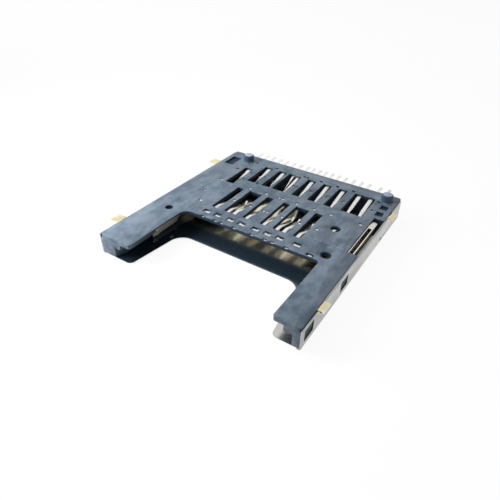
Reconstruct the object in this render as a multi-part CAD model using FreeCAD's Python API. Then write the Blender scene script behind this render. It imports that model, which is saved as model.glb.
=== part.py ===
"""Surface mount SD card socket with push-push ejector, two contact rows, board side up."""
import FreeCAD, Part
import math
import os

V = FreeCAD.Vector

# Frame while modelling: +X to the write-protect side, +Y the way the card goes in, +Z to the board.
# z = 0 is the outer face of the cover, y = 0 the front of the left arm. The finished solids are
# moved along Y so that the row's origin lies under the first contact row.

# Overall sizes
body_depth = 29.6
rail_left = 2.5
rail_right = 1.26
back_wall = 2.0
cover_t = 0.2
cavity_height = 2.25
plate_t = 0.55
fit_gap = 0.05

# Card space
card_width = 24.0
card_gap = 0.12
card_edge_t = 1.4
card_ledge = 0.65
card_leadin = 0.4
leadin_length = 1.6

# Finger notch in the plate and the two arms
arm_left_width = 4.83
arm_right_width = 3.23
arm_right_lead = 0.3
notch_y = 10.25
notch_left_r = 1.25
notch_right_r = 0.5
plate_corner = 0.35

# Contact strip
strip_t = 0.15
strip_depth = 0.17
strip_bend = 0.12

# First contact row, card pins 1 to 9
pin_pitch = 2.5
pin_1_x = -6.25
pin_8_step = 1.7
pin_9_setback = 2.0
beam_width = 0.54
beam_nose = 0.22
beam_shoulder = 0.6
beam_root_length = 0.5
lead_overlap = 0.2
row_1_root_gap = 0.2
row_1_length = 5.1
row_1_drop = 0.87
tip_lip = 0.6
tip_lip_rise = 0.3
slot_margin = 0.66
slot_front_room = 0.45
fork_leg_step = 0.75
fork_leg_taper = 0.7
fork_start = 0.4
fork_slit = 0.24
fork_slit_start = 1.2
fork_slit_edge = 0.5
lug_size = 0.32

# Second contact row, one group of x places for each opening
row_2_slots = ((-6.23,), (-4.2, -3.2), (-1.25,), (1.4,), (3.33, 4.34), (6.28,))
row_2_width = 0.5
row_2_nose = 0.36
row_2_level = 1.2
row_2_root_y = 12.95
row_2_tip_y = 17.2
row_2_drop = 0.8
row_2_slot_length = 6.45
row_2_margin = 0.52
carrier_stub_y = 10.3
carrier_notch_depth = 0.25
cross_arm_y = 11.6
cross_arm_width = 0.45
cross_arm_length = 0.5
cross_window = 0.75
cross_window_width = 1.06
cross_window_x = (-6.46, -4.66, -2.66, -0.9, 1.17, 2.95, 4.69, 7.12)
corner_stub_x = 9.3
corner_window = (1.0, 0.5)
corner_window_gap = 0.1
first_lead_side = 1.5
first_lead_turn = (1.3, 1.8)
first_lead_back = 3.2
third_lead_end = 1.0
third_lead_jog = 0.7

# Leads of the second row, between the slots, and the solder tails
lead_width = 0.34
lead_x = (-10.23, -5.12, -2.38, -0.28, 0.28, 2.5, 5.14, 7.6)
lead_jog_x = -2.9
lead_jog_width = 0.24
tail_width = 0.42
tail_reach = 1.6
tail_foot = 0.95
tail_ramp = 0.3
row_2_tail_x = (-10.0, -5.0, -2.5, -0.25, 0.8, 2.9, 5.15, 7.65)
row_1_tail_x = (-6.25, -3.75, -1.25, 1.8, 4.0, 6.45, 8.85, 10.55, -8.75)
detect_tail_x = -7.5
protect_tail_side = 2.15
jog_start = 0.4
jog_end = 1.4

# Core holes down to the leads, rows measured from the contact points of the first row
core_hole = 0.46
core_pair_hole = 0.4
core_row_steps = (-6.35, -2.2, 1.95, 5.5)

# Card detect contact, hidden between the slots of pins 9 and 1
detect_x = -7.6
detect_width = 0.36
detect_root_step = 0.9
detect_drop = 0.6
detect_room = 0.16
detect_hole = 0.3

# Write-protect switch on the right
window_side = 1.35
window_front_y = 13.6
window_back_y = 22.6
pocket_floor = 0.5
blade_t = 0.15
blade_gap = 0.5
blade_height = 1.8
blade_front_y = 13.8
head_front_y = 20.1
head_length = 1.7
head_rounding = 0.45
blade_in_head = 0.8
bump_y = 15.4
bump_reach = 0.75
bump_half = 1.1
bump_height = 0.95
bump_bend = 0.3
bump_room = 0.3
protect_lead_side = 2.25
terminal_gap = 0.12
terminal_front_y = 14.2
terminal_length = 5.2
terminal_step = 0.45
terminal_height = 1.6
terminal_foot = 1.6
dimple_y = 17.9
dimple_r = 0.35
dimple_taper = 0.6

# Ejector channel, slider and its spring on the left
channel_wall = 0.55
channel_front_y = 9.7
slider_front_y = 10.3
slider_length = 10.9
eject_travel = 4.6
slider_corner_r = 0.3
claw_reach = 1.9
claw_thickness = 0.9
claw_corner_r = 0.2
spring_wire = 0.2
spring_outer = 1.5
spring_turns = 4
spring_seat_gap = 0.02
spring_post = 0.7
spring_post_length = 0.65

# Cam pin and the heart-shaped cam
pin_wire = 0.3
pin_length = 7.5
pin_leg = 0.75
pin_pivot_y = 8.2
pin_floor_gap = 0.1
lane_width = 0.38
heart_width = 0.34
heart_length = 3.7
heart_notch = 0.35
cam_end_room = 0.25
pivot_gap = 0.04

# Card lock leaf on the slider, reaching forward along the left rail
leaf_t = 0.1
leaf_low = 0.35
leaf_width = 1.0
leaf_foot = 4.2
leaf_ramp = 0.9
leaf_reach = 0.5
leaf_run = 3.4
leaf_bump = 0.15
leaf_bump_ramp = 0.5
leaf_lip = 0.2
leaf_bend = 0.3
arm_relief = (4.6, 9.4)
arm_lip = 0.22

# Cover: finger cut-out, side walls, latch windows, solder tabs
wall_top_gap = 0.1
wall_front_drop = 0.25
bend_inner = 0.12
cut_left_step = 0.23
cut_left_back_step = 0.67
cut_right_step = 0.02
cut_right_back_step = 1.27
cut_back_y = 8.3
cut_corner_r = 2.0
foot_corner_r = 0.72
cover_back_gap = 0.4
latch_front_y = 1.2
latch_mid_y = 9.8
latch_length = 2.0
latch_low = 0.85
latch_high = 2.35
latch_bump = 0.12
latch_bump_gap = 0.1
latch_bump_crest = 0.25
latch_bump_end_gap = 0.15
small_window_y = 21.8
small_window = 0.7
small_window_z = 0.55
tab_front_y = 3.7
tab_back_y = 24.4
tab_width = 1.6
tab_left_reach = 1.5
tab_right_reach = 0.85
tab_t = 0.2
press_leaf_width = 1.0
press_leaf_length = 4.5
press_leaf_slit = 0.3

# Plate details, pegs and pockets measured from the side and the back
peg_r = 0.8
peg_height = 1.0
peg_chamfer = 0.15
peg_left_inset = (3.6, 1.9)
peg_right_inset = (1.55, 1.7)
pocket_depth = 0.3
left_pocket_side = (0.7, 2.22)
left_pocket_back = (4.7, 1.85)
square_pocket_side = (1.65, 0.63)
square_pocket_back = (6.3, 4.4)
square_pocket_length = 1.15
carrier_cut_factor = 0.6
round_hole_r = 0.55
round_hole_sides = (2.75, 3.14, 4.5)
round_holes_y = (9.46, 11.7, 17.4)
blind_hole_depth = 0.4
sink_r = 0.78
sink_depth = 0.16

# Levels and edges that follow
z_floor = cover_t
z_under = z_floor + cavity_height
z_board = z_under + plate_t
half_width = (card_width + 2 * card_gap + rail_left + rail_right) / 2
card_centre_x = (rail_left - rail_right) / 2
card_back_y = body_depth - back_wall
row_1_root_y = card_back_y - row_1_root_gap
row_1_tip_y = row_1_root_y - row_1_length
row_2_x = [x for slot in row_2_slots for x in slot]
jog_start_y = card_back_y + jog_start
jog_end_y = card_back_y + jog_end
core_rows_y = [row_1_tip_y + step for step in core_row_steps]
detect_root_y = row_1_root_y - detect_root_step
window_x = half_width - window_side
protect_lead_x = half_width - protect_lead_side
protect_tail_x = half_width - protect_tail_side
peg_left = (peg_left_inset[0] - half_width, body_depth - peg_left_inset[1])
peg_right = (half_width - peg_right_inset[0], body_depth - peg_right_inset[1])
strip_high = z_board - strip_depth
strip_low = strip_high - strip_t
strip_mid = strip_high - strip_t / 2
card_left = card_centre_x - card_width / 2 - card_gap
card_right = card_centre_x + card_width / 2 + card_gap
ledge_z = z_floor + card_edge_t + 2 * fit_gap
arm_left_x = -half_width + arm_left_width
arm_right_x = half_width - arm_right_width
pin_x = [pin_1_x + pin_pitch * i for i in range(7)]
pin_x += [pin_x[-1] + pin_8_step, pin_1_x - pin_pitch]
fork_x = pin_x[2] - fork_leg_step
tail_end_y = body_depth + tail_reach
channel_left = -half_width + channel_wall
slider_back_y = slider_front_y + slider_length
spring_x = (channel_left + card_left) / 2
spring_z = z_floor + cavity_height / 2
blade_left_x = window_x + 0.02
blade_right_x = blade_left_x + blade_t + blade_gap
cam_x = (channel_left + card_left) / 2
cam_swing = (lane_width + heart_width) / 2
cam_y = pin_pivot_y + pin_length
groove_floor_z = z_floor + pin_floor_gap + pin_wire + pin_floor_gap
leg_top_z = z_floor + pin_floor_gap + pin_leg + pin_wire / 2


def box(x0, x1, y0, y1, z0, z1):
    return Part.makeBox(x1 - x0, y1 - y0, z1 - z0, V(x0, y0, z0))


def rounded_wire(corners):
    """Closed wire through (u, v, radius) corners, each rounded by a tangent arc."""
    points = [V(u, v, 0) for u, v, _ in corners]
    starts, ends, mids = [], [], []
    for i, (_, _, radius) in enumerate(corners):
        here = points[i]
        back = (points[i - 1] - here).normalize()
        ahead = (points[(i + 1) % len(points)] - here).normalize()
        half = back.getAngle(ahead) / 2
        if radius <= 0 or half > math.pi / 2 - 1e-3:
            starts.append(here)
            ends.append(here)
            mids.append(None)
            continue
        run = radius / math.tan(half)
        centre_way = (back + ahead).normalize()
        starts.append(here + back * run)
        ends.append(here + ahead * run)
        mids.append(here + centre_way * (radius / math.sin(half) - radius))
    edges = []
    for i in range(len(points)):
        if mids[i] is not None:
            edges.append(Part.Arc(starts[i], mids[i], ends[i]).toShape())
        after = starts[(i + 1) % len(points)]
        if (after - ends[i]).Length > 1e-6:
            edges.append(Part.LineSegment(ends[i], after).toShape())
    return Part.Wire(edges)


def prism(corners, z0, z1):
    """Plan outline in X and Y, pulled up from z0 to z1."""
    face = Part.Face(rounded_wire(corners))
    face.translate(V(0, 0, z0))
    return face.extrude(V(0, 0, z1 - z0))


def side_prism(corners, x0, x1):
    """Side outline in Y and Z, pulled from x0 to x1."""
    face = Part.Face(rounded_wire(corners))
    face.rotate(V(0, 0, 0), V(1, 1, 1), 120)
    face.translate(V(x0, 0, 0))
    return face.extrude(V(x1 - x0, 0, 0))


def front_prism(corners, y0, y1):
    """Front outline in X and Z, pulled from y0 to y1."""
    face = Part.Face(rounded_wire(corners))
    face.rotate(V(0, 0, 0), V(1, 0, 0), 90)
    face.translate(V(0, y0, 0))
    return face.extrude(V(0, y1 - y0, 0))


def strip_outline(path, thickness):
    """Outline of a bent strip along a centre line of (u, v, bend radius) corners."""
    left, right = [], []
    last = len(path) - 1
    for i, (u, v, radius) in enumerate(path):
        here = V(u, v, 0)
        way_in = (here - V(path[i - 1][0], path[i - 1][1], 0)).normalize() if i else None
        way_out = (V(path[i + 1][0], path[i + 1][1], 0) - here).normalize() if i < last else None
        way_in = way_in or way_out
        way_out = way_out or way_in
        along = (way_in + way_out).normalize()
        normal = V(-along.y, along.x, 0)
        offset = thickness / 2 / max(0.2, along.dot(way_in))
        turn = way_in.x * way_out.y - way_in.y * way_out.x
        bent = radius > 0 and abs(turn) > 1e-6
        side = math.copysign(thickness / 2, turn)
        left_r = max(0, radius - side) if bent else 0
        right_r = max(0, radius + side) if bent else 0
        a, b = here + normal * offset, here - normal * offset
        left.append((a.x, a.y, left_r))
        right.append((b.x, b.y, right_r))
    return left + right[::-1]


def flat_lead(path, width):
    """Flat strip in the lead plane along a plan path of (x, y) points."""
    return prism(strip_outline([(x, y, 0) for x, y in path], width), strip_low, strip_high)


def fused(first, *others):
    return first.fuse(list(others)).removeSplitter()


def row_span(xs, margin):
    return min(xs) - margin, max(xs) + margin


# Contacts

def tail_foot_solid(x):
    """Gull-wing solder tail: out of the back wall, up to the board plane, flat foot."""
    foot_z = z_board - strip_t / 2
    ramp_y = tail_end_y - tail_foot
    path = [(body_depth, strip_mid, 0), (ramp_y - tail_ramp, strip_mid, 0),
            (ramp_y, foot_z, 0), (tail_end_y, foot_z, 0)]
    return side_prism(strip_outline(path, strip_t), x - tail_width / 2, x + tail_width / 2)


def lead_to_tail(x, start_y, tail_x):
    """Lead from a plan position back to its tail, with the small sideways jog near the back."""
    path = [(x, start_y), (x, jog_start_y), (tail_x, jog_end_y), (tail_x, body_depth)]
    if abs(x - tail_x) < 1e-6:
        path = [(x, start_y), (x, body_depth)]
    return flat_lead(path, lead_width)


def strip_blade(x, width, root_y, tip_y, drop, way):
    """Bent strip: level root, slope down to the rounded contact point, lip turned up."""
    root = root_y - way * beam_root_length
    path = [(root, strip_mid, 0), (root_y, strip_mid, 0), (tip_y, strip_mid - drop, strip_bend * 2),
            (tip_y + way * tip_lip, strip_mid - drop + tip_lip_rise, 0)]
    return side_prism(strip_outline(path, strip_t), x - width / 2, x + width / 2)


def beam(x, width, nose, root_y, tip_y, drop, way):
    """Contact beam whose sides run together from the shoulder to a narrow nose."""
    start, end = root_y - 2 * way * beam_root_length, tip_y + 2 * way * tip_lip
    shoulder = root_y + (tip_y - root_y) * beam_shoulder
    edge = [(width / 2, start), (width / 2, shoulder), (nose / 2, tip_y), (nose / 2, end)]
    outline = [(x + half, y, 0) for half, y in edge] + [(x - half, y, 0) for half, y in edge[::-1]]
    return strip_blade(x, 2 * width, root_y, tip_y, drop, way).common(prism(outline, 0, z_board))


def row_1_contact(number):
    """Contact of card pin 1 to 9. Pin 3 is forked, pins 1 and 2 keep a carrier lug."""
    x = pin_x[number - 1]
    back = pin_9_setback if number == 9 else 0
    root_y, tip_y = row_1_root_y - back, row_1_tip_y - back
    if number != 3:
        blade = beam(x, beam_width, beam_nose, root_y, tip_y, row_1_drop, -1)
    else:
        wide = strip_blade(x, card_width, root_y, tip_y, row_1_drop, -1)
        leg, nose = beam_width / 2, beam_nose / 2
        back_y, front_y = root_y + 2 * beam_root_length, tip_y - 2 * tip_lip
        slit_end = tip_y + fork_slit_start
        shoulder = root_y + (tip_y - root_y) * beam_shoulder
        fork_edge = fork_x - leg * fork_leg_taper
        slit_edge = x - leg * fork_slit_edge
        outline = [(x + leg, back_y, 0), (x + leg, shoulder, 0), (x + nose, tip_y, 0),
                   (x + nose, front_y, 0), (x - nose, front_y, 0),
                   (x - nose, tip_y + fork_start, 0), (fork_edge, root_y, 0), (fork_edge, back_y, 0)]
        slit = [(slit_edge, slit_end, 0), (slit_edge, root_y, 0),
                (fork_x + leg * fork_slit_edge, root_y, 0), (slit_edge - fork_slit / 2, slit_end, 0)]
        plan = prism(outline, 0, z_board).cut(prism(slit, -1, z_board + 1))
        blade = wide.common(plan)
    lead = lead_to_tail(x, root_y + lead_overlap, row_1_tail_x[number - 1])
    solid = fused(blade, lead, tail_foot_solid(row_1_tail_x[number - 1]))
    if number in (1, 2):
        wide = strip_blade(x, 2 * beam_width + 2 * lug_size, root_y, tip_y, row_1_drop, -1)
        lug_y = (root_y + tip_y) / 2
        lug = wide.common(box(x - beam_width / 2 - lug_size, x, lug_y - lug_size / 2,
                              lug_y + lug_size / 2, 0, z_board))
        solid = fused(solid, lug)
    return solid


def row_2_lead_path(index):
    """Plan route of a second row lead: cross arm, lane between the slots, back edge."""
    x, lane, tail = row_2_x[index], lead_x[index], row_2_tail_x[index]
    if index == 0:
        turn_x, turn_y = first_lead_turn
        start = [(x, cross_arm_y), (x - first_lead_side, cross_arm_y),
                 (lane + turn_x, cross_arm_y + turn_y), (lane, cross_arm_y + first_lead_back)]
    else:
        start = [(x, cross_arm_y), (lane, cross_arm_y)]
    if index == 2:
        return start + [(lane, row_1_tip_y - third_lead_end)]
    return start + [(lane, jog_start_y), (tail, jog_end_y), (tail, body_depth)]


def row_2_contact(index):
    x = row_2_x[index]
    blade = beam(x, row_2_width, row_2_nose, row_2_root_y + row_2_level, row_2_tip_y, row_2_drop, 1)
    root = box(x - row_2_width / 2, x + row_2_width / 2, carrier_stub_y,
               row_2_root_y + row_2_level - beam_root_length + lead_overlap, strip_low, strip_high)
    arm_end = x + math.copysign(cross_arm_length, lead_x[index] - x)
    arm = box(min(x, arm_end), max(x, arm_end),
              cross_arm_y - cross_arm_width / 2, cross_arm_y + cross_arm_width / 2,
              strip_low, strip_high)
    pieces = [root, arm, flat_lead(row_2_lead_path(index), lead_width), tail_foot_solid(row_2_tail_x[index])]
    if index == 2:
        lane, tail, pinch = lead_x[index], row_2_tail_x[index], row_1_tip_y - third_lead_end
        pieces.append(flat_lead([(lane, pinch - lead_overlap), (lane, pinch),
                                 (lead_jog_x, pinch + third_lead_jog), (lead_jog_x, jog_start_y),
                                 (tail, jog_end_y), (tail, body_depth)], lead_jog_width))
    if index == 7:
        pieces.append(flat_lead([(lead_x[index], cross_arm_y), (corner_stub_x, cross_arm_y),
                                 (corner_stub_x, carrier_stub_y)], row_2_width))
    return fused(blade, *pieces)


def detect_contact():
    blade = strip_blade(detect_x, detect_width, detect_root_y, row_1_tip_y, detect_drop, -1)
    lead = lead_to_tail(detect_x, detect_root_y + lead_overlap, detect_tail_x)
    return fused(blade, lead, tail_foot_solid(detect_tail_x))


# Write-protect switch

def protect_spring():
    """Hairpin spring: flat head, two upright blades, the inner one with the card bump."""
    blade_low = strip_high - blade_height
    head_back = head_front_y + head_length
    blade_back = head_front_y + blade_in_head
    right = blade_right_x + blade_t
    round_r = (right - blade_left_x) * head_rounding
    head = prism([(blade_left_x, head_front_y, 0), (right, head_front_y, 0),
                  (right, head_back, round_r), (blade_left_x, head_back, round_r)],
                 strip_low, strip_high)
    split = bump_height + blade_low
    inner_top = box(blade_left_x, blade_left_x + blade_t, blade_front_y, blade_back, split, strip_high)
    middle = blade_left_x + blade_t / 2
    bump = [(middle, blade_front_y, 0), (middle, bump_y - bump_half, bump_bend),
            (middle - bump_reach, bump_y, bump_bend), (middle, bump_y + bump_half, bump_bend),
            (middle, blade_back, 0)]
    inner_low = prism(strip_outline(bump, blade_t), blade_low, split)
    outer = box(blade_right_x, right, blade_front_y, blade_back, blade_low, strip_high)
    arm = flat_lead([(middle, blade_back), (protect_lead_x, blade_back),
                     (protect_lead_x, jog_start_y), (protect_tail_x, jog_end_y),
                     (protect_tail_x, body_depth)], lead_width)
    return fused(head, inner_top, inner_low, outer, arm, tail_foot_solid(protect_tail_x))


def protect_terminal():
    """Fixed contact plate between the hairpin and the cover wall, with a round contact point."""
    inner_x = blade_right_x + blade_t + terminal_gap + blade_t / 2
    wall_x = half_width - blade_t / 2
    back = terminal_front_y + terminal_length
    path = [(inner_x, terminal_front_y, 0), (inner_x, back, blade_t),
            (wall_x, back + terminal_step, blade_t),
            (wall_x, back + terminal_step + terminal_foot, 0)]
    low = z_floor + pocket_floor
    plate = prism(strip_outline(path, blade_t), low, low + terminal_height)
    dimple = Part.makeCone(dimple_r, dimple_r * dimple_taper, terminal_gap * dimple_taper + blade_t / 2,
                           V(inner_x, dimple_y, low + terminal_height - 2 * dimple_r), V(-1, 0, 0))
    return fused(plate, dimple)


# Ejector

def heart_outline():
    """Island that the cam pin walks round, with the notch that holds it while the card is in."""
    back = cam_y - pin_wire / 2 - cam_end_room
    front = back - heart_length
    half = heart_width / 2
    return [(cam_x, back, 0), (cam_x - half, back - 2 * half, 0), (cam_x - half, front, 0),
            (cam_x, front + heart_notch, 0), (cam_x + half, front, 0),
            (cam_x + half, back - 2 * half, 0)]


def eject_slider():
    """Slider with the claw for the card's cut corner, the cam groove and the spring post."""
    left, right = channel_left + fit_gap, card_left - fit_gap
    low, high = z_floor + fit_gap, z_under - fit_gap
    front, back = slider_front_y, slider_back_y
    claw_x = right + claw_reach
    body = prism([(left, front, 0), (right, front, slider_corner_r),
                  (right, back - claw_reach - claw_thickness, 0),
                  (claw_x, back - claw_thickness, claw_corner_r), (claw_x, back, claw_corner_r),
                  (left, back, 0)], low, high)
    half = cam_swing + lane_width / 2
    run_front = cam_y - eject_travel - pin_wire / 2 - cam_end_room
    run_back = cam_y + pin_wire / 2 + cam_end_room
    recess = box(cam_x - half, cam_x + half, front - 1, run_back, low - 1, groove_floor_z)
    groove = box(cam_x - half, cam_x + half, run_front, run_back, groove_floor_z, leg_top_z + pin_floor_gap)
    groove = groove.cut(prism(heart_outline(), groove_floor_z, z_board))
    return fused(body.cut(recess).cut(groove), spring_seat(back, back + spring_post_length))


def spring_seat(y0, y1):
    """Square post that keeps an end of the coil in place."""
    half = spring_post / 2
    return box(spring_x - half, spring_x + half, y0, y1, spring_z - half, spring_z + half)


def wire_section(diameter, sides):
    """Many-sided section of a drawn wire, square to Y."""
    steps = [2 * math.pi * i / sides for i in range(sides + 1)]
    return Part.makePolygon([V(diameter / 2 * math.cos(a), 0, diameter / 2 * math.sin(a)) for a in steps])


def eject_spring():
    """Open coil between the slider and the back wall of the channel."""
    start = slider_back_y + spring_wire / 2 + spring_seat_gap
    length = card_back_y - spring_wire / 2 - spring_seat_gap - start
    radius = (spring_outer - spring_wire) / 2
    helix = Part.makeHelix(length / spring_turns, length, radius)
    section = wire_section(spring_wire, 4)
    section.translate(V(radius, 0, 0))
    coil = Part.Wire(helix.Edges).makePipeShell([section], True, True)
    coil.rotate(V(0, 0, 0), V(1, 0, 0), -90)
    coil.translate(V(spring_x, start, spring_z))
    return coil


def cam_pin():
    """Wire staple: pivot leg in the housing, follower leg in the slider's heart cam."""
    bar_z = z_floor + pin_floor_gap + pin_wire / 2
    turn = pin_wire
    cut = turn * (1 - math.sqrt(0.5))
    route = [Part.LineSegment(V(0, 0, bar_z + pin_leg), V(0, 0, bar_z + turn)),
             Part.Arc(V(0, 0, bar_z + turn), V(0, cut, bar_z + cut), V(0, turn, bar_z)),
             Part.LineSegment(V(0, turn, bar_z), V(0, pin_length - turn, bar_z)),
             Part.Arc(V(0, pin_length - turn, bar_z), V(0, pin_length - cut, bar_z + cut),
                      V(0, pin_length, bar_z + turn)),
             Part.LineSegment(V(0, pin_length, bar_z + turn), V(0, pin_length, bar_z + pin_leg))]
    path = Part.Wire([piece.toShape() for piece in route])
    section = wire_section(pin_wire, 6)
    section.rotate(V(0, 0, 0), V(1, 0, 0), 90)
    section.translate(V(0, 0, bar_z + pin_leg))
    pin = path.makePipeShell([section], True, True)
    pin.rotate(V(0, 0, 0), V(0, 0, 1), -math.degrees(math.asin(cam_swing / pin_length)))
    pin.translate(V(cam_x, pin_pivot_y, 0))
    return pin


def lock_leaf():
    """Leaf on the slider's inner face whose bump drops into the card's side notch."""
    x = card_left - fit_gap + leaf_t / 2
    free_x = x + leaf_reach
    ramp_y = slider_front_y + leaf_ramp
    free_y = slider_front_y - leaf_run
    bump_end = free_y - 2 * leaf_bump_ramp
    path = [(x, slider_front_y + leaf_foot, 0), (x, ramp_y, leaf_bend), (free_x, slider_front_y, leaf_bend),
            (free_x, free_y, 0), (free_x + leaf_bump, free_y - leaf_bump_ramp, 0),
            (free_x, bump_end, 0), (free_x, bump_end - leaf_lip, 0)]
    return prism(strip_outline(path, leaf_t), leaf_low, leaf_low + leaf_width)


# Cover

def cover_blank():
    """Flat of the cover with the finger cut-out between its two feet."""
    back = body_depth - cover_back_gap
    edge = half_width - bend_inner
    return [(-edge, 0, 0), (arm_left_x - cut_left_step, 0, foot_corner_r),
            (arm_left_x + cut_left_back_step, cut_back_y, cut_corner_r),
            (arm_right_x - cut_right_back_step, cut_back_y, cut_corner_r),
            (arm_right_x - cut_right_step, -arm_right_lead, foot_corner_r),
            (edge, -arm_right_lead, 0), (edge, back, 0), (-edge, back, 0)]


def cover_wall(side, front):
    """Side wall with its bend, from the floor sheet up towards the board."""
    outer = half_width + cover_t / 2
    middle = cover_t / 2
    path = [(side * (half_width - 2 * bend_inner), middle, 0), (side * outer, middle, bend_inner + middle),
            (side * outer, z_board - wall_top_gap, 0)]
    return front_prism(strip_outline(path, cover_t), front, body_depth - cover_back_gap - bend_inner)


def solder_tab(side, centre_y, reach):
    """Tab bent out of the wall to lie in the board plane."""
    outer = half_width + cover_t / 2
    high = z_board - tab_t / 2
    path = [(side * outer, z_under - cover_t, 0), (side * outer, high, tab_t * 0.75),
            (side * (half_width + reach), high, 0)]
    return front_prism(strip_outline(path, tab_t), centre_y - tab_width / 2, centre_y + tab_width / 2)


def cover():
    """One folded sheet: floor, two walls with latch windows, four solder tabs, press leaf."""
    fronts = {-1: 0, 1: -arm_right_lead}
    sheet = prism(cover_blank(), 0, cover_t)
    walls = [cover_wall(side, front) for side, front in fronts.items()]
    tabs = [solder_tab(side, y, reach) for side, reach in ((-1, tab_left_reach), (1, tab_right_reach))
            for y in (tab_front_y, tab_back_y)]
    shell = fused(sheet, *walls, *tabs)
    cuts = []
    for side in fronts:
        x0, x1 = sorted((side * (half_width - bend_inner), side * (half_width + 2 * cover_t)))
        for y in (latch_front_y, latch_mid_y):
            cuts.append(box(x0, x1, y - latch_length / 2, y + latch_length / 2, latch_low, latch_high))
        cuts.append(box(x0, x1, small_window_y - small_window / 2, small_window_y + small_window / 2,
                        small_window_z, small_window_z + small_window / 2))
    half = press_leaf_width / 2
    leaf_front = cam_y - press_leaf_length
    outer = box(cam_x - half - press_leaf_slit, cam_x + half + press_leaf_slit, leaf_front,
                cam_y + press_leaf_slit, -1, 1)
    inner = box(cam_x - half, cam_x + half, leaf_front - 1, cam_y, -2, 2)
    cuts.append(outer.cut(inner))
    wall_top = z_board - wall_top_gap
    cuts.append(box(half_width - bend_inner, half_width + 2 * cover_t, -1, tab_front_y - tab_width / 2,
                    wall_top - wall_front_drop, z_board))
    return shell.cut(Part.makeCompound(cuts))


# Housing

def plate_outline():
    right_front = -arm_right_lead
    return [(-half_width, 0, plate_corner), (arm_left_x, 0, plate_corner),
            (arm_left_x, notch_y, notch_left_r), (arm_right_x, notch_y, notch_right_r),
            (arm_right_x, right_front, plate_corner), (half_width, right_front, plate_corner),
            (half_width, body_depth, plate_corner), (-half_width, body_depth, plate_corner)]


def rail_block(side, front):
    """Side rail under the plate: wall, ledge over the card's thin edge, flared mouth."""
    inner = card_right if side > 0 else -card_left
    corners = [(side * half_width, z_under, 0), (side * half_width, z_floor, cover_t),
               (side * inner, z_floor, 0), (side * inner, ledge_z, 0),
               (side * (inner - card_ledge), ledge_z, 0), (side * (inner - card_ledge), z_under, 0)]
    rail = front_prism(corners, front, body_depth)
    flare = prism([(side * (inner - card_ledge - 1), front - 1, 0),
                   (side * (inner + card_leadin), front - 1, 0), (side * (inner + card_leadin), front, 0),
                   (side * inner, front + leadin_length, 0),
                   (side * (inner - card_ledge - 1), front + leadin_length, 0)], z_floor - 1, ledge_z)
    return rail.cut(flare)


def contact_slots():
    """Openings in the plate over the beams of both rows."""
    slots = []
    groups = [(8,), (0,), (1,), (2,), (3,), (4,), (5,), (6, 7)]
    for group in groups:
        xs = [pin_x[i] for i in group] + ([fork_x] if 2 in group else [])
        back = pin_9_setback if 8 in group else 0
        x0, x1 = row_span(xs, slot_margin)
        slots.append(box(x0, x1, row_1_tip_y - slot_front_room - back, row_1_root_y - back,
                         z_under - 1, z_board + 1))
    for slot in row_2_slots:
        x0, x1 = row_span(slot, row_2_margin)
        slots.append(box(x0, x1, row_2_root_y, row_2_root_y + row_2_slot_length,
                         z_under - 1, z_board + 1))
    return slots


def core_holes():
    """Square holes from the board side down to the leads, and the windows over the cross arms."""
    half = core_hole / 2
    spots = [(x, y) for y in core_rows_y[:3] for x in lead_x if not (x == lead_x[2] and y > row_1_tip_y)]
    spots += [(x, core_rows_y[3]) for x in lead_x[1:2] + lead_x[3:]]
    spots += [(pin_x[8], core_rows_y[3]), (lead_x[1], row_1_tip_y - detect_hole)]
    spots += [(protect_lead_x, y) for y in core_rows_y[1:3] + [peg_right[1] - peg_r - half]]
    holes = []
    for x, y in spots:
        half_x = core_pair_hole / 2 if x in lead_x[3:5] else half
        holes.append(box(x - half_x, x + half_x, y - half, y + half, strip_high, z_board + 1))
    small = detect_hole / 2
    for y in (row_1_tip_y - detect_hole, core_rows_y[2], core_rows_y[3]):
        holes.append(box(detect_x - small, detect_x + small, y - small, y + small, strip_high, z_board + 1))
    turn_x, turn_y = row_2_lead_path(0)[2]
    holes.append(box(turn_x - detect_hole, turn_x + detect_hole, turn_y - half, turn_y + half,
                     strip_high, z_board + 1))
    half, stub = cross_window_width / 2, row_2_width * carrier_cut_factor
    for x, middle in zip(row_2_x, cross_window_x):
        holes.append(box(middle - half, middle + half, cross_arm_y - cross_window / 2,
                         cross_arm_y + cross_window / 2, strip_high, z_board + 1))
        holes.append(box(x - stub, x + stub, notch_y - 1, notch_y + carrier_notch_depth,
                         strip_high, z_board + 1))
    wide, deep = corner_window
    front = notch_y + corner_window_gap
    holes.append(box(corner_stub_x - wide / 2, corner_stub_x + wide / 2, front, front + deep,
                     strip_high, z_board + 1))
    return holes


def switch_pocket():
    """Window over the hairpin spring, pocket below it, opening towards the card."""
    low = z_floor + pocket_floor
    pocket = box(window_x, half_width + 1, window_front_y, window_back_y, low, z_board + 1)
    passage = box(card_right - card_ledge - 1, window_x, bump_y - bump_half - bump_room,
                  bump_y + bump_half + bump_room, strip_high - blade_height - 2 * fit_gap, z_under)
    return [pocket, passage]


def ejector_room():
    """Channel for slider and spring, seat of the cam pin, path of the claw, relief over the leaf."""
    low = z_floor - 1
    relief = box(card_left + card_ledge, arm_left_x + 1, *arm_relief, z_under - 1, z_board - arm_lip)
    channel = box(channel_left, card_left + card_ledge + 1, channel_front_y, card_back_y, low, z_under)
    half = cam_swing + lane_width / 2
    pin_bay = box(cam_x - half, cam_x + half, pin_pivot_y - pin_wire, channel_front_y, low, groove_floor_z)
    pivot = Part.makeCylinder(pin_wire / 2 + pivot_gap, leg_top_z + pin_floor_gap - z_floor,
                              V(cam_x, pin_pivot_y, z_floor))
    return [channel, pin_bay, pivot, relief]


def blind_pockets():
    low = z_board - pocket_depth
    x0, x1 = [half_width - side for side in square_pocket_side]
    pockets = [box(x0, x1, body_depth - back, body_depth - back + square_pocket_length, low, z_board + 1)
               for back in square_pocket_back]
    x0, x1 = [side - half_width for side in left_pocket_side]
    y0, y1 = [body_depth - back for back in left_pocket_back]
    return pockets + [box(x0, x1, y0, y1, low, z_board + 1)]


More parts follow.
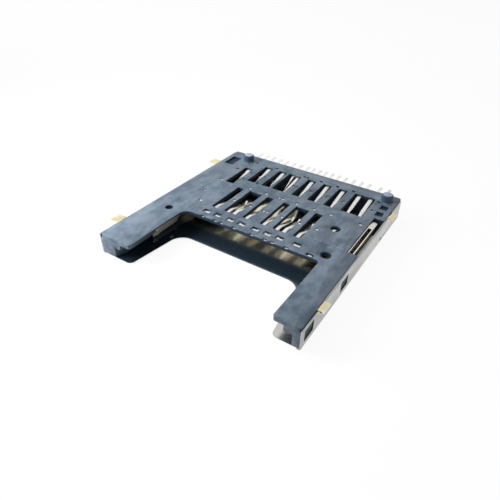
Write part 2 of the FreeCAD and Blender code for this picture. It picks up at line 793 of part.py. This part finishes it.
def round_holes():
    """Blind hole in the left arm, two sunk holes through the plate on the right."""
    x, y = round_hole_sides[0] - half_width, round_holes_y[0]
    holes = [Part.makeCylinder(round_hole_r, blind_hole_depth + 1, V(x, y, z_board - blind_hole_depth))]
    for side, y in zip(round_hole_sides[1:], round_holes_y[1:]):
        x = half_width - side
        holes.append(Part.makeCylinder(round_hole_r, plate_t + 1, V(x, y, z_under)))
        holes.append(Part.makeCone(round_hole_r, sink_r, sink_depth, V(x, y, z_board - sink_depth)))
    return holes


def housing(inserts):
    """Moulded housing: plate, two rails, back wall, pegs, latch bumps, all openings."""
    plate = prism(plate_outline(), z_under, z_board)
    back_wall = box(-half_width + cover_t, half_width - cover_t, card_back_y, body_depth,
                    z_floor, z_under)
    body = fused(plate, back_wall, rail_block(-1, 0), rail_block(1, -arm_right_lead))
    for x, y in (peg_left, peg_right):
        straight = peg_height - peg_chamfer
        peg = Part.makeCylinder(peg_r, straight, V(x, y, z_board))
        tip = Part.makeCone(peg_r, peg_r - peg_chamfer, peg_chamfer, V(x, y, z_board + straight))
        body = body.fuse([peg, tip])
    half = latch_length / 2 - latch_bump_end_gap
    low, high = latch_low + latch_bump_gap, latch_high - latch_bump_gap
    for side in (-1, 1):
        for y in (latch_front_y, latch_mid_y):
            edge, proud = side * half_width, side * (half_width + latch_bump)
            bump = front_prism([(edge, low, 0), (proud, high - latch_bump_crest, 0), (proud, high, 0),
                                (edge, high, 0)], y - half, y + half)
            body = body.fuse(bump)
    detect_bay = box(detect_x - detect_width / 2 - detect_room, detect_x + detect_width / 2 + detect_room,
                     row_1_tip_y - tip_lip - detect_room, detect_root_y, z_under - 1, strip_high)
    body = body.cut(Part.makeCompound(contact_slots()))
    for cut in (core_holes() + switch_pocket() + ejector_room() + blind_pockets() + round_holes()
                + [detect_bay]):
        body = body.cut(cut)
    body = body.fuse(spring_seat(card_back_y - spring_post_length, card_back_y))
    for insert in inserts:
        body = body.cut(insert)
    return body.removeSplitter()


def build():
    parts = {}
    for number in range(1, 10):
        parts["card_contact_%d" % number] = row_1_contact(number)
    for index in range(len(row_2_x)):
        parts["row_two_contact_%d" % (index + 10)] = row_2_contact(index)
    parts["card_detect_contact"] = detect_contact()
    parts["write_protect_spring"] = protect_spring()
    parts["housing"] = housing(list(parts.values()))
    parts["write_protect_terminal"] = protect_terminal()
    parts["cover"] = cover()
    parts["eject_slider"] = eject_slider()
    parts["eject_spring"] = eject_spring()
    parts["cam_pin"] = cam_pin()
    parts["card_lock_leaf"] = lock_leaf()
    return parts


os.makedirs("parts", exist_ok=True)
for name, shape in build().items():
    shape.translate(V(0, -row_1_tip_y, 0))
    shape.exportStep("parts/%s.step" % name)
    print(name, "solids", len(shape.Solids), "valid", shape.isValid(), "volume", round(shape.Volume, 3))
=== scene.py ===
from math import radians, tau
import bpy
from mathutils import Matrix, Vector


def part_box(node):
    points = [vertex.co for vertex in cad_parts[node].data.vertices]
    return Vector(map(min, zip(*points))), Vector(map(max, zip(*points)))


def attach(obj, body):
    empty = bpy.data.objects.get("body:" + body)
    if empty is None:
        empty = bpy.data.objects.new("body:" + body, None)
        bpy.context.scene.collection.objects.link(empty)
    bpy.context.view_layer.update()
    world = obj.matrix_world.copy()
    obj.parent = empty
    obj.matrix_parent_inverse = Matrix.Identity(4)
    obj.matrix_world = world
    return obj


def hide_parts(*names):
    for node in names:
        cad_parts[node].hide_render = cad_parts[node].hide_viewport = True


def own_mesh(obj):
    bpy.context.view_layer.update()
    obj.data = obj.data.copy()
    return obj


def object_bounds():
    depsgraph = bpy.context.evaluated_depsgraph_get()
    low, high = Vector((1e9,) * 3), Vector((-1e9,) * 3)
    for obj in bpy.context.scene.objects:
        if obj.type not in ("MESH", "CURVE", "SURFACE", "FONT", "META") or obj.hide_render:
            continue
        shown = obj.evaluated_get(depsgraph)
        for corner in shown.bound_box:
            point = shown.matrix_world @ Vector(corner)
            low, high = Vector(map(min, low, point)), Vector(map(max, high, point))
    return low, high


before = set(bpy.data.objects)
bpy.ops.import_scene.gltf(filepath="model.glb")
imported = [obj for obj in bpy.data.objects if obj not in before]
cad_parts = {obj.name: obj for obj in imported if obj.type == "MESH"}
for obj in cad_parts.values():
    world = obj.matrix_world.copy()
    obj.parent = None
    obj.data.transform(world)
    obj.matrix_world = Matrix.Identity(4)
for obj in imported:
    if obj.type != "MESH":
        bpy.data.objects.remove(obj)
cadLow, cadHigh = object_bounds()
print("frame loaded:", len(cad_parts), "CAD nodes")

mm = 0.001
housingLow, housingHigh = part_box("housing")
coverLow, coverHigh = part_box("cover")
boardZ = coverHigh.z  # the tabs and the plate's face lie in the board's plane


# Modelling helpers

def pickOnly(piece):
    bpy.ops.object.select_all(action="DESELECT")
    piece.select_set(True)
    bpy.context.view_layer.objects.active = piece


def settle(piece):  # place goes into the mesh, object to the origin
    pickOnly(piece)
    bpy.ops.object.transform_apply(location=True, rotation=True, scale=True)


def finishModifier(piece, kind, **settings):
    modifier = piece.modifiers.new(kind.lower(), kind)
    for key, value in settings.items():
        setattr(modifier, key, value)
    pickOnly(piece)
    bpy.ops.object.modifier_apply(modifier=modifier.name)


def standFor(piece, node, body):
    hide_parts(node)
    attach(piece, body)


softEdges = {
    "mergeDistance": 0.0005 * mm,
    "flatAngle": radians(0.5),
    "edgeAngle": radians(35),
    "smoothAngle": radians(40),
    "flushX": 14.0 * mm,
    "flushGap": 0.015 * mm,
}


def softenedCopy(node, name, width, segments=2):
    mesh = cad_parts[node].data.copy()
    piece = bpy.data.objects.new(name, mesh)
    bpy.context.scene.collection.objects.link(piece)
    mesh.materials.clear()
    if node != "cover":  # a hair's gap to the cover's walls, so that no two faces lie in one plane
        for vertex in mesh.vertices:
            if abs(abs(vertex.co.x) - softEdges["flushX"]) < softEdges["mergeDistance"]:
                vertex.co.x -= softEdges["flushGap"] * (1 if vertex.co.x > 0 else -1)
    pickOnly(piece)
    if mesh.has_custom_normals:
        bpy.ops.mesh.customdata_custom_splitnormals_clear()
    bpy.ops.object.mode_set(mode="EDIT")
    bpy.ops.mesh.select_all(action="SELECT")
    bpy.ops.mesh.remove_doubles(threshold=softEdges["mergeDistance"])
    bpy.ops.mesh.dissolve_limited(angle_limit=softEdges["flatAngle"])
    bpy.ops.object.mode_set(mode="OBJECT")
    finishModifier(piece, "BEVEL", width=width, segments=segments, limit_method="ANGLE",
                   angle_limit=softEdges["edgeAngle"], use_clamp_overlap=True, harden_normals=False)
    bpy.ops.object.shade_smooth_by_angle(angle=softEdges["smoothAngle"])
    return piece


# Shader helpers

class Wire:  # a node's output, whose arithmetic adds Math nodes
    def __init__(self, finish, socket):
        self.finish = finish
        self.socket = socket

    def math(self, operation, first, second):
        return self.finish.add("ShaderNodeMath", {"operation": operation}, {0: first, 1: second})

    def __add__(self, other):
        return self.math("ADD", self, other)

    def __sub__(self, other):
        return self.math("SUBTRACT", self, other)

    def __rsub__(self, other):
        return self.math("SUBTRACT", other, self)

    def __mul__(self, other):
        return self.math("MULTIPLY", self, other)

    def __gt__(self, other):
        return self.math("GREATER_THAN", self, other)

    def __lt__(self, other):
        return self.math("LESS_THAN", self, other)


class Finish:  # one material with its shader
    def __init__(self, name, **values):
        self.material = bpy.data.materials.new(name)
        self.material.use_nodes = True
        self.tree = self.material.node_tree
        self.shader = self.tree.nodes["Principled BSDF"]
        self.place = self.add("ShaderNodeTexCoord", out="Object")
        for socket, value in values.items():
            self.feed(socket, value)

    def add(self, kind, settings=None, inputs=None, out=0):
        node = self.tree.nodes.new(kind)
        for key, value in (settings or {}).items():
            setattr(node, key, value)
        for key, value in (inputs or {}).items():
            self.join(value, node.inputs[key])
        return Wire(self, node.outputs[out])

    def larger(self, first, second):
        return self.add("ShaderNodeMath", {"operation": "MAXIMUM"}, {0: first, 1: second})

    def size(self, value):
        return self.add("ShaderNodeMath", {"operation": "ABSOLUTE"}, {0: value})

    def join(self, value, socket):
        if isinstance(value, Wire):
            self.tree.links.new(value.socket, socket)
        else:
            socket.default_value = value

    def feed(self, socket, value):
        self.join(value, self.shader.inputs[socket])

    def noise(self, scale, detail=2, roughness=0.5, stretch=None):
        where = self.place
        if stretch:
            where = self.add("ShaderNodeMapping", None, {"Vector": where, "Scale": stretch})
        return self.add("ShaderNodeTexNoise", None,
                        {"Vector": where, "Scale": scale, "Detail": detail, "Roughness": roughness})

    def between(self, value, low, high, outLow=0.0, outHigh=1.0):
        return self.add("ShaderNodeMapRange", {"interpolation_type": "SMOOTHSTEP"},
                        {"Value": value, "From Min": low, "From Max": high,
                         "To Min": outLow, "To Max": outHigh})

    def mix(self, factor, first, second):
        return self.add("ShaderNodeMix", {"data_type": "RGBA"}, {0: factor, 6: first, 7: second}, out=2)

    def axes(self):
        split = self.add("ShaderNodeSeparateXYZ", None, {0: self.place})
        node = split.socket.node
        return [Wire(self, node.outputs[i]) for i in range(3)]

    def facing(self):  # 1 on level faces that look to the board, -1 on those that look to the cover
        normal = self.add("ShaderNodeNewGeometry", out="Normal")
        return self.add("ShaderNodeSeparateXYZ", None, {0: normal}, out=2)

    def bump(self, height, distance, strength=1.0):
        return self.add("ShaderNodeBump", None,
                        {"Height": height, "Distance": distance, "Strength": strength})

    def putOn(self, piece):
        piece.data.materials.clear()
        piece.data.materials.append(self.material)


# Housing: slate-grey moulding, matt textured face, rougher down in its pockets; painted shade darkens its
# pockets, inner walls and undersides and the pegs' sides, painted light lifts the pegs' tops, and the
# painted shade is weaker near the arms' fronts

mouldingLook = {
    "slateLight": (0.113, 0.144, 0.180, 1),
    "slateDark": (0.042, 0.066, 0.097, 1),
    # painted shade on the pegs' sides and painted light on their tops
    "pegSidePaintedShade": (0.026, 0.045, 0.078, 1),
    "pegTopPaintedLight": (0.24, 0.29, 0.37, 1),
    "pegFoot": boardZ + 0.04 * mm,
    # painted shade: dark navy for pocket floors, inner walls and undersides, where shade falls
    "pocketPaintedShade": (0.009, 0.021, 0.045, 1),
    "wallPaintedShade": (0.010, 0.020, 0.036, 1),
    "undersidePaintedShade": (0.024, 0.044, 0.070, 1),
    "seamTone": (0.24, 0.29, 0.34, 1),
    "blotch": 1 / (5.5 * mm),
    "cloud": 1 / (1.6 * mm),
    "flow": 1 / (0.55 * mm),
    "flowStretch": (1, 0.35, 1),
    "toneShares": (0.35, 0.35, 0.3),  # of blotch, cloud and flow
    "toneRange": (0.41, 0.59),
    "grain": 1 / (0.09 * mm),
    "grainDepth": 0.004 * mm,
    "grainStrength": 0.8,
    "reliefShares": (0.6, 0.4),  # of grain and cloud
    "faceRoughness": (0.42, 0.58),
    "wornRange": (0.35, 0.7),
    "pocketRoughness": 0.75,
    "level": 0.5,  # faces that look up or down more than this are floors or undersides
    "pegLevel": 0.8,
    "rimDepth": 0.08 * mm,
    "rimFade": 0.85,
    "bumpsFrom": housingHigh.x - 0.16 * mm,  # the latch bumps in the cover's windows
    "frontBand": 0.36 * mm,  # the arms' front faces lie this near the foremost point
    # painted light: the painted shade of hidden faces is halved near the front, where light falls on them
    "frontShadeFade": (housingLow.y + 0.5 * mm, housingLow.y + 4.5 * mm),
    "frontShadeFadeShare": 0.5,
    "seamY": housingLow.y + 14.1 * mm,
    "seamX": (7.0 * mm, 12.2 * mm),
    "seamWidth": 0.09 * mm,
    "edgeRound": 0.045 * mm,
}


def mouldedPolymer(name, look):
    finish = Finish(name)
    x, y, z = finish.axes()
    blotch = finish.noise(look["blotch"], detail=3, roughness=0.6)
    cloud = finish.noise(look["cloud"], detail=4, roughness=0.65)
    flow = finish.noise(look["flow"], detail=5, roughness=0.7, stretch=look["flowStretch"])
    grain = finish.noise(look["grain"], detail=3, roughness=0.7)
    inBlotch, inCloud, inFlow = look["toneShares"]
    tone = finish.between(blotch * inBlotch + cloud * inCloud + flow * inFlow, *look["toneRange"])
    slate = finish.mix(tone, look["slateDark"], look["slateLight"])
    onFace = finish.between(z, boardZ - look["rimDepth"], boardZ - look["rimDepth"] * look["rimFade"])
    onFront = y < housingLow.y + look["frontBand"]
    seam = ((y > look["seamY"]) * (y < look["seamY"] + look["seamWidth"])
            * (x > look["seamX"][0]) * (x < look["seamX"][1]) * onFace)
    onSide = finish.size(x) > look["bumpsFrom"]
    lit = finish.larger(finish.larger(onFace, onFront), onSide)
    facing = finish.facing()
    # painted shade on the faces below the plate's face, except the arms' fronts and the latch bumps
    paintedShade = finish.mix(facing > look["level"], look["wallPaintedShade"], look["pocketPaintedShade"])
    paintedShade = finish.mix(facing < -look["level"], paintedShade, look["undersidePaintedShade"])
    # painted light near the front: the painted shade fades towards the slate
    shadeFadeNearFront = finish.between(y, *look["frontShadeFade"], look["frontShadeFadeShare"], 0.0)
    paintedShade = finish.mix(shadeFadeNearFront, paintedShade, slate)
    colour = finish.mix(lit, paintedShade, slate)
    # pegs: painted light on their level tops, painted shade on their sides
    peg = z > look["pegFoot"]
    pegPaintedLightAndShade = finish.mix(facing > look["pegLevel"], look["pegSidePaintedShade"], look["pegTopPaintedLight"])
    colour = finish.mix(peg, colour, pegPaintedLightAndShade)
    finish.feed("Base Color", finish.mix(seam * flow, colour, look["seamTone"]))
    worn = finish.between(cloud, *look["wornRange"], *look["faceRoughness"])
    finish.feed("Roughness", onFace * worn + (1 - onFace) * look["pocketRoughness"])
    relief = grain * look["reliefShares"][0] + cloud * look["reliefShares"][1]
    finish.feed("Normal", finish.bump(relief, look["grainDepth"], look["grainStrength"]))
    return finish


def makeHousing():
    piece = softenedCopy("housing", "housingMoulding", mouldingLook["edgeRound"])
    mouldedPolymer("slatePolymer", mouldingLook).putOn(piece)
    standFor(piece, "housing", "socket")
    print("housing:", len(piece.data.polygons), "faces")


# Cover: folded stainless sheet, rolled grain along the card's way, tabs plated pale gold; inside the notch
# its floor carries painted reflections (tan, light grey on the right foot, navy near the rim) and its cut
# edge a painted highlight

coverLook = {
    "metallic": 1.0,
    "steel": (0.45, 0.46, 0.44, 1),
    "steelShade": (0.34, 0.35, 0.335, 1),
    # painted reflections inside the notch: tan, light grey on the right foot, navy near the rim; then a
    # painted highlight on the cut edge
    "insidePaintedReflection": (0.80, 0.76, 0.60, 1),
    "footPaintedReflection": (0.62, 0.61, 0.58, 1),
    "rimPaintedNavyReflection": (0.050, 0.078, 0.110, 1),
    "navyDulls": 0.25,
    "cutEdgePaintedHighlight": (0.95, 0.95, 0.94, 1),
    "footEnd": 13.7 * mm,
    "rightFootFrom": (6.5 * mm, 11.5 * mm),
    "gold": (0.94, 0.87, 0.62, 1),
    "goldShade": (0.78, 0.71, 0.48, 1),
    "goldRange": (0.42, 0.58),
    "insideTop": coverLow.z + 0.35 * mm,
    "rimPolish": (coverLow.y + 10.9 * mm, coverLow.y + 12.5 * mm),
    "footBack": (coverLow.y + 5.0 * mm, coverLow.y + 9.5 * mm),
    "insideRoughness": (0.10, 0.25),
    "slotPolish": (coverLow.y + 14.6 * mm, coverLow.y + 16.2 * mm),
    "slotSheen": 0.15,  # taken off the roughness below the slots
    "footBlur": 0.14,
    "grainAcross": 1 / (0.05 * mm),
    "grainStretch": (1, 0.03, 1),
    "stain": 1 / (3.5 * mm),
    "stainRange": (0.35, 0.65),
    "roughness": (0.10, 0.17),
    "roughShares": (0.15, 0.85),  # of grain and stain
    "roughRange": (0.3, 0.7),
    "grainDepth": 0.0001 * mm,
    "grainStrength": 0.6,
    "level": 0.6,  # faces that look up more than this are floors, the rest of the rim is its cut edge
    "tabCentres": (-18.6 * mm, 2.1 * mm),
    "tabHalf": 0.86 * mm,
    "goldFrom": (boardZ - 0.75 * mm, boardZ - 0.45 * mm),
    "edgeRound": 0.025 * mm,
}


def satinSteel(name, look, plated):
    finish = Finish(name, Metallic=look["metallic"])
    grain = finish.noise(look["grainAcross"], detail=2, stretch=look["grainStretch"])
    stain = finish.noise(look["stain"], detail=4, roughness=0.6)
    steel = finish.mix(finish.between(stain, *look["stainRange"]), look["steelShade"], look["steel"])
    inGrain, inStain = look["roughShares"]
    rough = finish.between(grain * inGrain + stain * inStain, *look["roughRange"], *look["roughness"])
    if plated:
        x, y, z = finish.axes()
        onTabs = 0
        for centre in look["tabCentres"]:
            onTabs = (y > centre - look["tabHalf"]) * (y < centre + look["tabHalf"]) + onTabs
        gold = onTabs * finish.between(z, *look["goldFrom"])
        across = finish.size(x)
        facing = finish.facing()
        inside = (z < look["insideTop"]) * (across < look["footEnd"]) * (facing > -look["level"])
        edge = inside * (facing < look["level"])
        deep = finish.between(y, *look["rimPolish"])
        rightFoot = finish.between(x, *look["rightFootFrom"]) * finish.between(y, *look["footBack"], 1, 0)
        navy = inside * (1 - deep) * (1 - rightFoot) * (1 - edge)
        finish.feed("Metallic", 1 - navy * look["navyDulls"])
        # painted reflections on the inner floor (tan, light grey on the right foot, navy near the rim) and
        # a near-white painted highlight on the cut edge
        steel = finish.mix(inside, steel, finish.mix(rightFoot, look["insidePaintedReflection"], look["footPaintedReflection"]))
        steel = finish.mix(navy, steel, look["rimPaintedNavyReflection"])
        steel = finish.mix(edge, steel, look["cutEdgePaintedHighlight"])
        plating = finish.mix(finish.between(stain, *look["goldRange"]), look["goldShade"], look["gold"])
        steel = finish.mix(gold, steel, plating)
        inner = finish.between(y, *look["rimPolish"], *look["insideRoughness"])
        inner = inner - finish.between(y, *look["slotPolish"]) * look["slotSheen"]
        rough = inside * (inner + rightFoot * look["footBlur"]) + (1 - inside) * rough
    finish.feed("Base Color", steel)
    finish.feed("Roughness", rough)
    finish.feed("Normal", finish.bump(grain, look["grainDepth"], look["grainStrength"]))
    return finish


def makeCover():
    piece = softenedCopy("cover", "foldedCover", coverLook["edgeRound"], segments=3)
    satinSteel("satinStainless", coverLook, plated=True).putOn(piece)
    standFor(piece, "cover", "socket")
    print("cover:", len(piece.data.polygons), "faces")


# Lead pads: raised spots of the leads, seen as bright floors of the core holes

leadPlaces = (-10.23, -5.12, -2.38, -0.28, 0.28, 2.5, 5.14, 7.6)
padLook = {
    "rows": (  # y, depth below the face, and the places in x
        (-8.90, 0.06, (-8.93,)),
        (-6.35, 0.09, leadPlaces),
        (-2.20, 0.09, leadPlaces + (11.75,)),
        (1.95, 0.125, leadPlaces[:2] + leadPlaces[3:] + (11.75,)),
    ),
    "side": 0.38 * mm,
    "foot": 0.175 * mm,
    "edgeRound": 0.02 * mm,
}


def makeLeadPads(plating):
    side, bottom = padLook["side"], padLook["foot"]
    pads = []
    for row, depth, places in padLook["rows"]:
        top = depth * mm
        for place in places:
            bpy.ops.object.select_all(action="DESELECT")
            bpy.ops.mesh.primitive_cube_add(size=1, scale=(side, side, bottom - top), location=(
                place * mm, row * mm, boardZ - (top + bottom) / 2))
            pads.append(bpy.context.object)
            settle(pads[-1])
            finishModifier(pads[-1], "BEVEL", width=padLook["edgeRound"], segments=2)
    for pad in pads:
        pad.select_set(True)
    bpy.ops.object.join()
    piece = bpy.context.object
    piece.name = "leadPads"
    settle(piece)
    plating.putOn(piece)
    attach(piece, "socket")
    print("lead pads:", len(pads))


# Contacts: bright silver-white plating on stamped strip

platingLook = {
    "silver": (0.96, 0.965, 0.955, 1),
    "tarnish": (0.86, 0.855, 0.83, 1),
    "tipGold": (0.80, 0.72, 0.48, 1),
    "tipFrom": (boardZ - 0.20 * mm, boardZ - 0.28 * mm),
    "down": -0.2,  # faces that look down more than this show the tip's gold
    "cloud": 1 / (0.8 * mm),
    "cloudRange": (0.3, 0.7),
    "roll": 1 / (0.04 * mm),
    "rollStretch": (1, 0.06, 1),
    "roughness": (0.22, 0.34),
    "roughShares": (0.6, 0.4),  # of cloud and roll
    "rollDepth": 0.0002 * mm,
    "rollStrength": 0.5,
    "edgeRound": 0.02 * mm,
}
hairpinLook = dict(platingLook, silver=(0.90, 0.87, 0.80, 1), tarnish=(0.78, 0.75, 0.66, 1))
terminalLook = dict(platingLook, silver=(0.38, 0.37, 0.34, 1), tarnish=(0.24, 0.235, 0.22, 1),
                    tipGold=(0.24, 0.235, 0.22, 1), gold=(0.42, 0.31, 0.16, 1),
                    spot=(13.55 * mm, -4.4 * mm, 2.0 * mm), spotRadius=0.5 * mm, spotFade=0.8)


def platedStrip(name, look):
    finish = Finish(name, Metallic=1.0)
    cloud = finish.noise(look["cloud"], detail=4, roughness=0.6)
    roll = finish.noise(look["roll"], detail=2, stretch=look["rollStretch"])
    colour = finish.mix(finish.between(cloud, *look["cloudRange"]), look["tarnish"], look["silver"])
    z = finish.axes()[2]
    cardSide = finish.between(z, *look["tipFrom"]) * (finish.facing() < look["down"])
    colour = finish.mix(cardSide, colour, look["tipGold"])
    if "gold" in look:
        away = finish.add("ShaderNodeVectorMath", {"operation": "DISTANCE"},
                          {0: finish.place, 1: look["spot"]}, out="Value")
        near = finish.between(away, look["spotRadius"], look["spotRadius"] * look["spotFade"])
        colour = finish.mix(near, colour, look["gold"])
    finish.feed("Base Color", colour)
    inCloud, inRoll = look["roughShares"]
    rough = finish.between(cloud * inCloud + roll * inRoll, *look["cloudRange"], *look["roughness"])
    finish.feed("Roughness", rough)
    finish.feed("Normal", finish.bump(roll, look["rollDepth"], look["rollStrength"]))
    return finish


def makeContacts():
    plating = platedStrip("brightPlating", platingLook)
    names = [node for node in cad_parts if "contact_" in node]
    hairpin = platedStrip("creamPlating", hairpinLook)
    for node in sorted(names) + ["card_detect_contact", "write_protect_spring"]:
        piece = softenedCopy(node, node + "_strip", platingLook["edgeRound"])
        (hairpin if node == "write_protect_spring" else plating).putOn(piece)
        standFor(piece, node, "socket")
    terminal = softenedCopy("write_protect_terminal", "write_protect_terminal_strip",
                            terminalLook["edgeRound"])
    platedStrip("greyPlating", terminalLook).putOn(terminal)
    standFor(terminal, "write_protect_terminal", "socket")
    makeLeadPads(plating)
    print("contacts:", len(names) + 3, "strips")


# Ejector: dark slider, steel lock leaf, coil spring, cam pin

ejectorLook = {
    "sliderLight": (0.040, 0.052, 0.075, 1),
    "sliderDark": (0.022, 0.030, 0.046, 1),
    "sliderRound": 0.04 * mm,
    "leafRound": 0.015 * mm,
    "leafLight": (0.86, 0.83, 0.70, 1),
    "leafDark": (0.72, 0.69, 0.58, 1),
    "leafRoughness": (0.40, 0.50),
    "wire": 0.20 * mm,
    "coilOuter": 1.5 * mm,
    "coilTurns": 8,
    "coilSteps": 28,
    "wireSides": 10,
    "steel": (0.58, 0.58, 0.57, 1),
    "steelShade": (0.42, 0.42, 0.42, 1),
}


def makeSlider():
    look = dict(mouldingLook, slateLight=ejectorLook["sliderLight"], slateDark=ejectorLook["sliderDark"])
    piece = softenedCopy("eject_slider", "ejectSlider", ejectorLook["sliderRound"])
    mouldedPolymer("darkPolymer", look).putOn(piece)
    standFor(piece, "eject_slider", "slider")
    leaf = softenedCopy("card_lock_leaf", "cardLockLeaf", ejectorLook["leafRound"])
    dull = dict(coverLook, metallic=0.2, steel=ejectorLook["leafLight"], steelShade=ejectorLook["leafDark"],
                roughness=ejectorLook["leafRoughness"])
    satinSteel("leafSteel", dull, plated=False).putOn(leaf)
    standFor(leaf, "card_lock_leaf", "slider")
    print("slider and lock leaf done")


def wireFinish():
    look = dict(coverLook, steel=ejectorLook["steel"], steelShade=ejectorLook["steelShade"])
    return satinSteel("drawnWire", look, plated=False)


def makeSpring(finish):
    low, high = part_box("eject_spring")
    wire, turns = ejectorLook["wire"], ejectorLook["coilTurns"]
    middleX, middleZ = (low.x + high.x) / 2, (low.z + high.z) / 2
    length = high.y - low.y - wire
    coilRadius = (ejectorLook["coilOuter"] - wire) / 2
    bpy.ops.object.select_all(action="DESELECT")
    bpy.ops.mesh.primitive_circle_add(vertices=ejectorLook["wireSides"], radius=wire / 2,
                                      location=(coilRadius, 0, 0), rotation=(radians(90), 0, 0))
    piece = bpy.context.object
    piece.name = "ejectSpring"
    settle(piece)
    finishModifier(piece, "SCREW", axis="Z", angle=tau, iterations=turns, screw_offset=length / turns,
                   steps=ejectorLook["coilSteps"], render_steps=ejectorLook["coilSteps"])
    pickOnly(piece)
    bpy.ops.object.mode_set(mode="EDIT")
    bpy.ops.mesh.select_all(action="DESELECT")
    bpy.ops.mesh.select_non_manifold()
    bpy.ops.mesh.edge_face_add()
    bpy.ops.mesh.select_all(action="SELECT")
    bpy.ops.mesh.normals_make_consistent(inside=False)
    bpy.ops.object.mode_set(mode="OBJECT")
    bpy.ops.object.shade_smooth_by_angle(angle=softEdges["smoothAngle"])
    piece.rotation_euler = (radians(-90), 0, 0)
    piece.location = (middleX, low.y + wire / 2, middleZ)
    settle(piece)
    finish.putOn(piece)
    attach(piece, "socket")
    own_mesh(piece)
    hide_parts("eject_spring")
    print("spring:", turns, "turns over", round(length / mm, 2), "mm")


def makeCamPin(finish):
    piece = softenedCopy("cam_pin", "camPin", ejectorLook["leafRound"])
    finish.putOn(piece)
    standFor(piece, "cam_pin", "cam_pin")


# Stage, lamps and camera

stageLook = {
    "floorSize": 1.2,
    "floorDrop": 0.002 * mm,
    "floorRoughness": 0.9,
    "floorGrey": (0.86, 0.87, 0.88, 1),
    "white": (1, 1, 1, 1),
    "floorSeen": 0.93,
    "floorReflected": 0.78,
    "worldLight": 0.30,
    "skySide": (-0.75, 0.10),  # from the bright left to the dimmer right, in the ray's own x
    "skySideGlow": (1.05, 0.62),
    "skyTop": (0.62, 0.85),
    "skyTopGlow": 0.98,
    "lamps": (
        # name, place, size, watts, colour
        ("backLeftBox", (-0.20, 0.10, 0.22), 0.16, 0.44, (0.97, 0.985, 1.0)),
        ("nearLeftBox", (-0.047, -0.034, 0.029), 0.04, 0.084, (1.0, 1.0, 1.0)),
        ("topBox", (-0.04, 0.04, 0.26), 0.16, 0.08, (1.0, 1.0, 1.0)),
    ),
}


def stageMath(tree, operation, first, second):
    node = tree.nodes.new("ShaderNodeMath")
    node.operation = operation
    for socket, value in zip(node.inputs, (first, second)):
        if isinstance(value, bpy.types.NodeSocket):
            tree.links.new(value, socket)
        else:
            socket.default_value = value
    return node.outputs[0]


def stageRange(tree, value, start, end, glow):
    node = tree.nodes.new("ShaderNodeMapRange")
    tree.links.new(value, node.inputs["Value"])
    node.inputs["From Min"].default_value = start
    node.inputs["From Max"].default_value = end
    node.inputs["To Min"].default_value = glow[0]
    node.inputs["To Max"].default_value = glow[1]
    return node.outputs[0]


def makeFloor():
    bpy.ops.object.select_all(action="DESELECT")
    bpy.ops.mesh.primitive_plane_add(size=stageLook["floorSize"],
                                     location=(0, 0, cadLow.z - stageLook["floorDrop"]))
    floor = bpy.context.object
    floor.name = "paleFloor"
    settle(floor)
    material = bpy.data.materials.new("paleFloorFinish")
    material.use_nodes = True
    tree = material.node_tree
    shader = tree.nodes["Principled BSDF"]
    shader.inputs["Base Color"].default_value = stageLook["floorGrey"]
    shader.inputs["Roughness"].default_value = stageLook["floorRoughness"]
    glow = tree.nodes.new("ShaderNodeEmission")
    glow.inputs["Color"].default_value = stageLook["white"]
    blend = tree.nodes.new("ShaderNodeMixShader")
    path = tree.nodes.new("ShaderNodeLightPath").outputs
    seen = stageMath(tree, "MULTIPLY", path["Is Camera Ray"], stageLook["floorSeen"])
    reflected = stageMath(tree, "MULTIPLY", path["Is Glossy Ray"], stageLook["floorReflected"])
    tree.links.new(stageMath(tree, "ADD", seen, reflected), blend.inputs[0])
    tree.links.new(shader.outputs[0], blend.inputs[1])
    tree.links.new(glow.outputs[0], blend.inputs[2])
    tree.links.new(blend.outputs[0], tree.nodes["Material Output"].inputs["Surface"])
    floor.data.materials.append(material)


def makeWorld():
    world = bpy.data.worlds.new("whiteTent")
    bpy.context.scene.world = world
    world.use_nodes = True
    tree = world.node_tree
    light = tree.nodes["Background"]
    light.inputs["Color"].default_value = stageLook["white"]
    way = tree.nodes.new("ShaderNodeSeparateXYZ")
    tree.links.new(tree.nodes.new("ShaderNodeTexCoord").outputs["Generated"], way.inputs[0])
    side = stageRange(tree, way.outputs["X"], *stageLook["skySide"], stageLook["skySideGlow"])
    top = stageRange(tree, way.outputs["Z"], *stageLook["skyTop"], (0, stageLook["skyTopGlow"]))
    sky = stageMath(tree, "MAXIMUM", side, top)
    path = tree.nodes.new("ShaderNodeLightPath").outputs
    reflected = stageMath(tree, "MULTIPLY", path["Is Glossy Ray"], sky)
    diffuse = stageMath(tree, "MULTIPLY", path["Is Diffuse Ray"], stageLook["worldLight"])
    seen = stageMath(tree, "ADD", path["Is Camera Ray"], reflected)
    tree.links.new(stageMath(tree, "ADD", seen, diffuse), light.inputs["Strength"])


def makeLamps():
    for name, place, size, watts, colour in stageLook["lamps"]:
        bpy.ops.object.light_add(type="AREA", location=place)
        lamp = bpy.context.object
        lamp.name = name
        lamp.data.size = size
        lamp.data.energy = watts
        lamp.data.color = colour
        lamp.visible_glossy = False  # the metals reflect the sky alone, so tabs and tails don't burn out
        lamp.rotation_euler = (-lamp.location).to_track_quat("-Z", "Y").to_euler()


cameraLook = {
    "place": (25.54 * mm, -49.79 * mm, 33.83 * mm),
    "turn": (53.439, -0.786, 33.303),
    "sensor": 36.0,
    "lens": 31.74,
    "clip": (0.001, 10),
}


def makeCamera():
    bpy.ops.object.camera_add(location=cameraLook["place"],
                              rotation=[radians(a) for a in cameraLook["turn"]])
    camera = bpy.context.object
    camera.name = "photoCamera"
    camera.data.lens = cameraLook["lens"]
    camera.data.sensor_width = cameraLook["sensor"]
    camera.data.clip_start, camera.data.clip_end = cameraLook["clip"]
    bpy.context.scene.camera = camera


makeCamera()
makeHousing()
makeCover()
makeContacts()
makeSlider()
drawnWire = wireFinish()
makeSpring(drawnWire)
makeCamPin(drawnWire)
makeFloor()
makeWorld()
makeLamps()
bpy.context.scene.view_settings.view_transform = "Standard"
print("stage, lamps and camera done")
